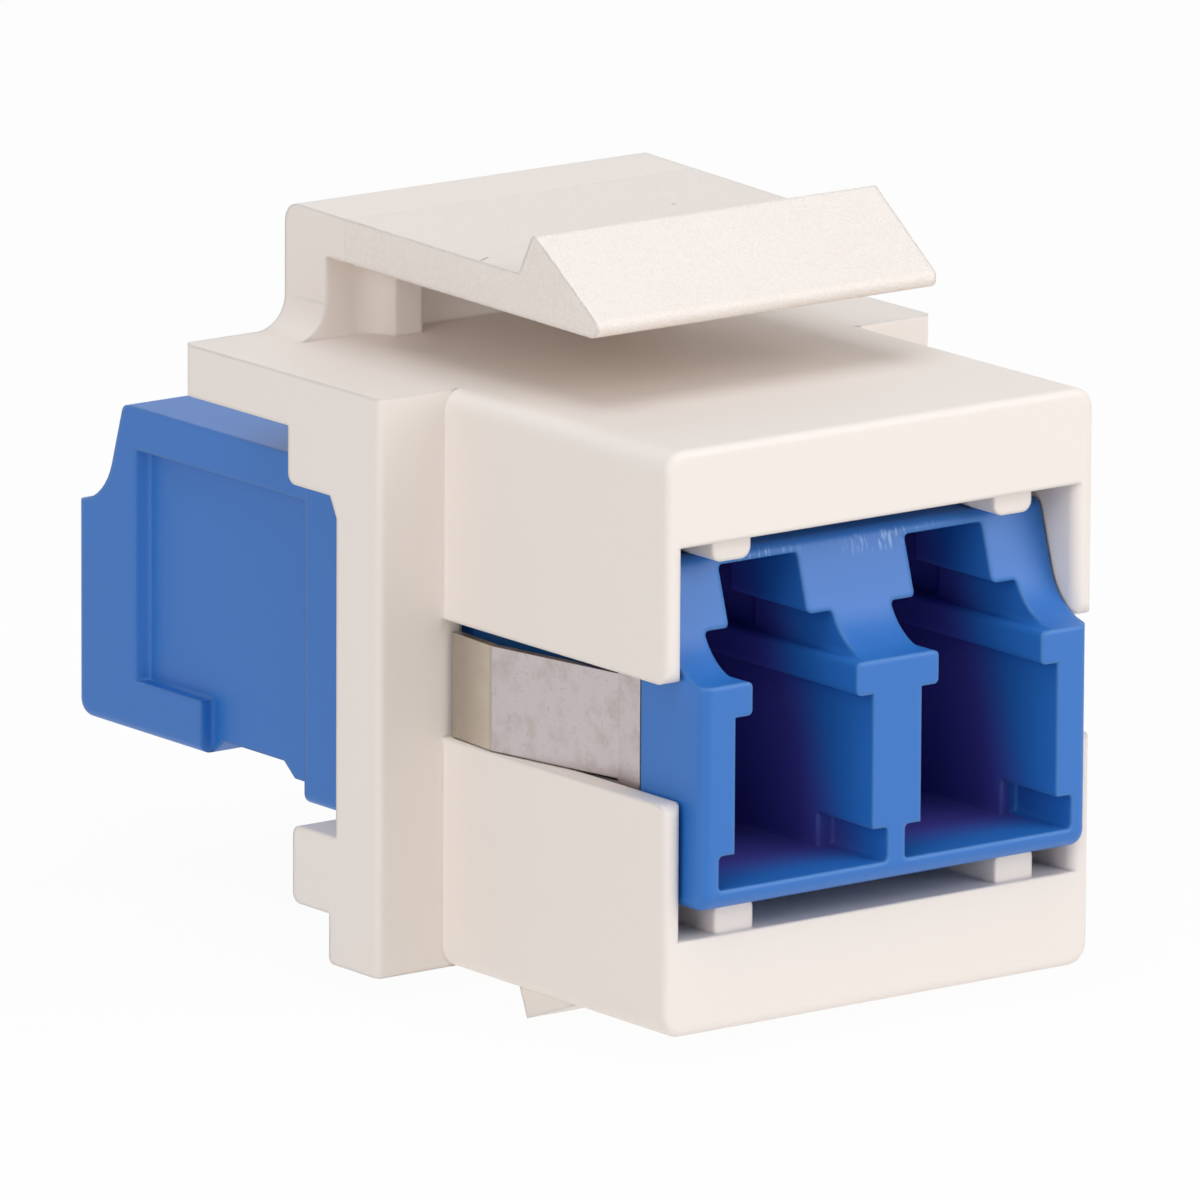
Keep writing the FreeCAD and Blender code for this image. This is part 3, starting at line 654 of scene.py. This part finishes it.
def make_floor_paper():
    """White paper for the camera with the part's soft shadow, and nothing from underneath."""
    material, tree, shader = new_material("floor_paper")
    shader.inputs["Base Color"].default_value = FLOOR_PAPER
    shader.inputs["Roughness"].default_value = 0.9
    shader.inputs["Specular IOR Level"].default_value = 0.0
    rays = add(tree, "ShaderNodeLightPath").outputs
    white = add(tree, "ShaderNodeEmission", {"Color": WHITE, "Strength": 1.0}).outputs[0]
    seen = calc(tree, "MAXIMUM", rays["Is Camera Ray"], rays["Is Glossy Ray"])
    seen = calc(tree, "MAXIMUM", seen, rays["Is Transmission Ray"])
    glow = spread(tree, seen, 0, 1, FLOOR_GLOW, FLOOR_WHITE)
    paper = add(tree, "ShaderNodeMixShader", {0: glow, 1: shader.outputs[0], 2: white})
    below = add(tree, "ShaderNodeNewGeometry").outputs["Backfacing"]
    clear = add(tree, "ShaderNodeBsdfTransparent").outputs[0]
    both = add(tree, "ShaderNodeMixShader", {0: below, 1: paper.outputs[0], 2: clear})
    plug(tree, tree.nodes["Material Output"].inputs["Surface"], both.outputs[0])
    return material


def sheet(name, u_count, v_count, surface):
    """Mesh object from a function of two grids that run from 0 to 1 and give x, y and z."""
    u, v = np.meshgrid(np.linspace(0, 1, u_count), np.linspace(0, 1, v_count), indexing="ij")
    points = np.stack(surface(u, v), -1).reshape(-1, 3)
    corner = (np.arange(u_count - 1)[:, None] * v_count + np.arange(v_count - 1)).ravel()
    faces = np.stack([corner, corner + v_count, corner + v_count + 1, corner + 1], 1)
    mesh = bpy.data.meshes.new(name)
    mesh.from_pydata(points.tolist(), [], faces.tolist())
    thing = bpy.data.objects.new(name, mesh)
    bpy.context.scene.collection.objects.link(thing)
    return thing


def floor_surface(u, v):
    """A flat square, FLOOR_HALF to each side, at the height of the part's lowest point."""
    return (2 * u - 1) * FLOOR_HALF, (2 * v - 1) * FLOOR_HALF, np.full_like(u, FLOOR_Z)


floor = sheet("floor", 2, 2, floor_surface)
floor.data.materials.append(make_floor_paper())

# %% World and lamps
WORLD_LIGHT = 0.03
WORLD_COLOUR = (1.0, 0.93, 0.88, 1)
LAMP_DISTANCE = 0.35
LAMP_COOL = (0.94, 0.96, 1.0)
LAMP_COOLER = (0.90, 0.94, 1.0)
LAMP_REAR = (0.92, 0.95, 1.0)
SOFT_BOXES = [
    ("right_box", 35, 21, 0.28, 0.765, LAMP_COOL),
    ("left_box", -68, 14, 0.18, 0.35, LAMP_COOL),
    ("left_high_box", -60, 45, 0.25, 0.27, LAMP_COOL),
    ("top_box", -10, 82, 0.30, 0.66, LAMP_COOLER),
    ("rear_box", 190, 42, 0.26, 0.18, LAMP_REAR),
]


def make_world():
    """White to the camera and to mirrors, a softer fill for everything else."""
    world = bpy.data.worlds.new("studio")
    world.use_nodes = True
    tree = world.node_tree
    rays = add(tree, "ShaderNodeLightPath").outputs
    seen = calc(tree, "MAXIMUM", rays["Is Camera Ray"], rays["Is Transmission Ray"])
    seen = calc(tree, "MAXIMUM", seen, rays["Is Glossy Ray"])
    fill = add(tree, "ShaderNodeBackground", {"Color": WORLD_COLOUR, "Strength": WORLD_LIGHT}).outputs[0]
    white = add(tree, "ShaderNodeBackground", {"Color": WHITE, "Strength": 1.0}).outputs[0]
    mix = add(tree, "ShaderNodeMixShader", {0: seen, 1: fill, 2: white})
    plug(tree, tree.nodes["World Output"].inputs["Surface"], mix.outputs[0])
    bpy.context.scene.world = world


def add_soft_box(name, turn, height, size, power, colour):
    """Square area lamp aimed at the view's centre, from a turn and a height in degrees."""
    across, up = math.radians(turn), math.radians(height)
    away = Vector((math.sin(across) * math.cos(up), -math.cos(across) * math.cos(up), math.sin(up)))
    data = bpy.data.lights.new(name, "AREA")
    data.shape = "SQUARE"
    data.size = size
    data.energy = power
    data.color = colour
    lamp = bpy.data.objects.new(name, data)
    lamp.location = VIEW_CENTRE + away * LAMP_DISTANCE
    lamp.rotation_euler = away.to_track_quat("Z", "Y").to_euler()
    bpy.context.scene.collection.objects.link(lamp)


make_world()
for soft_box in SOFT_BOXES:
    add_soft_box(*soft_box)
print("lamps:", len(SOFT_BOXES))
bpy.context.scene.view_settings.view_transform = "Standard"
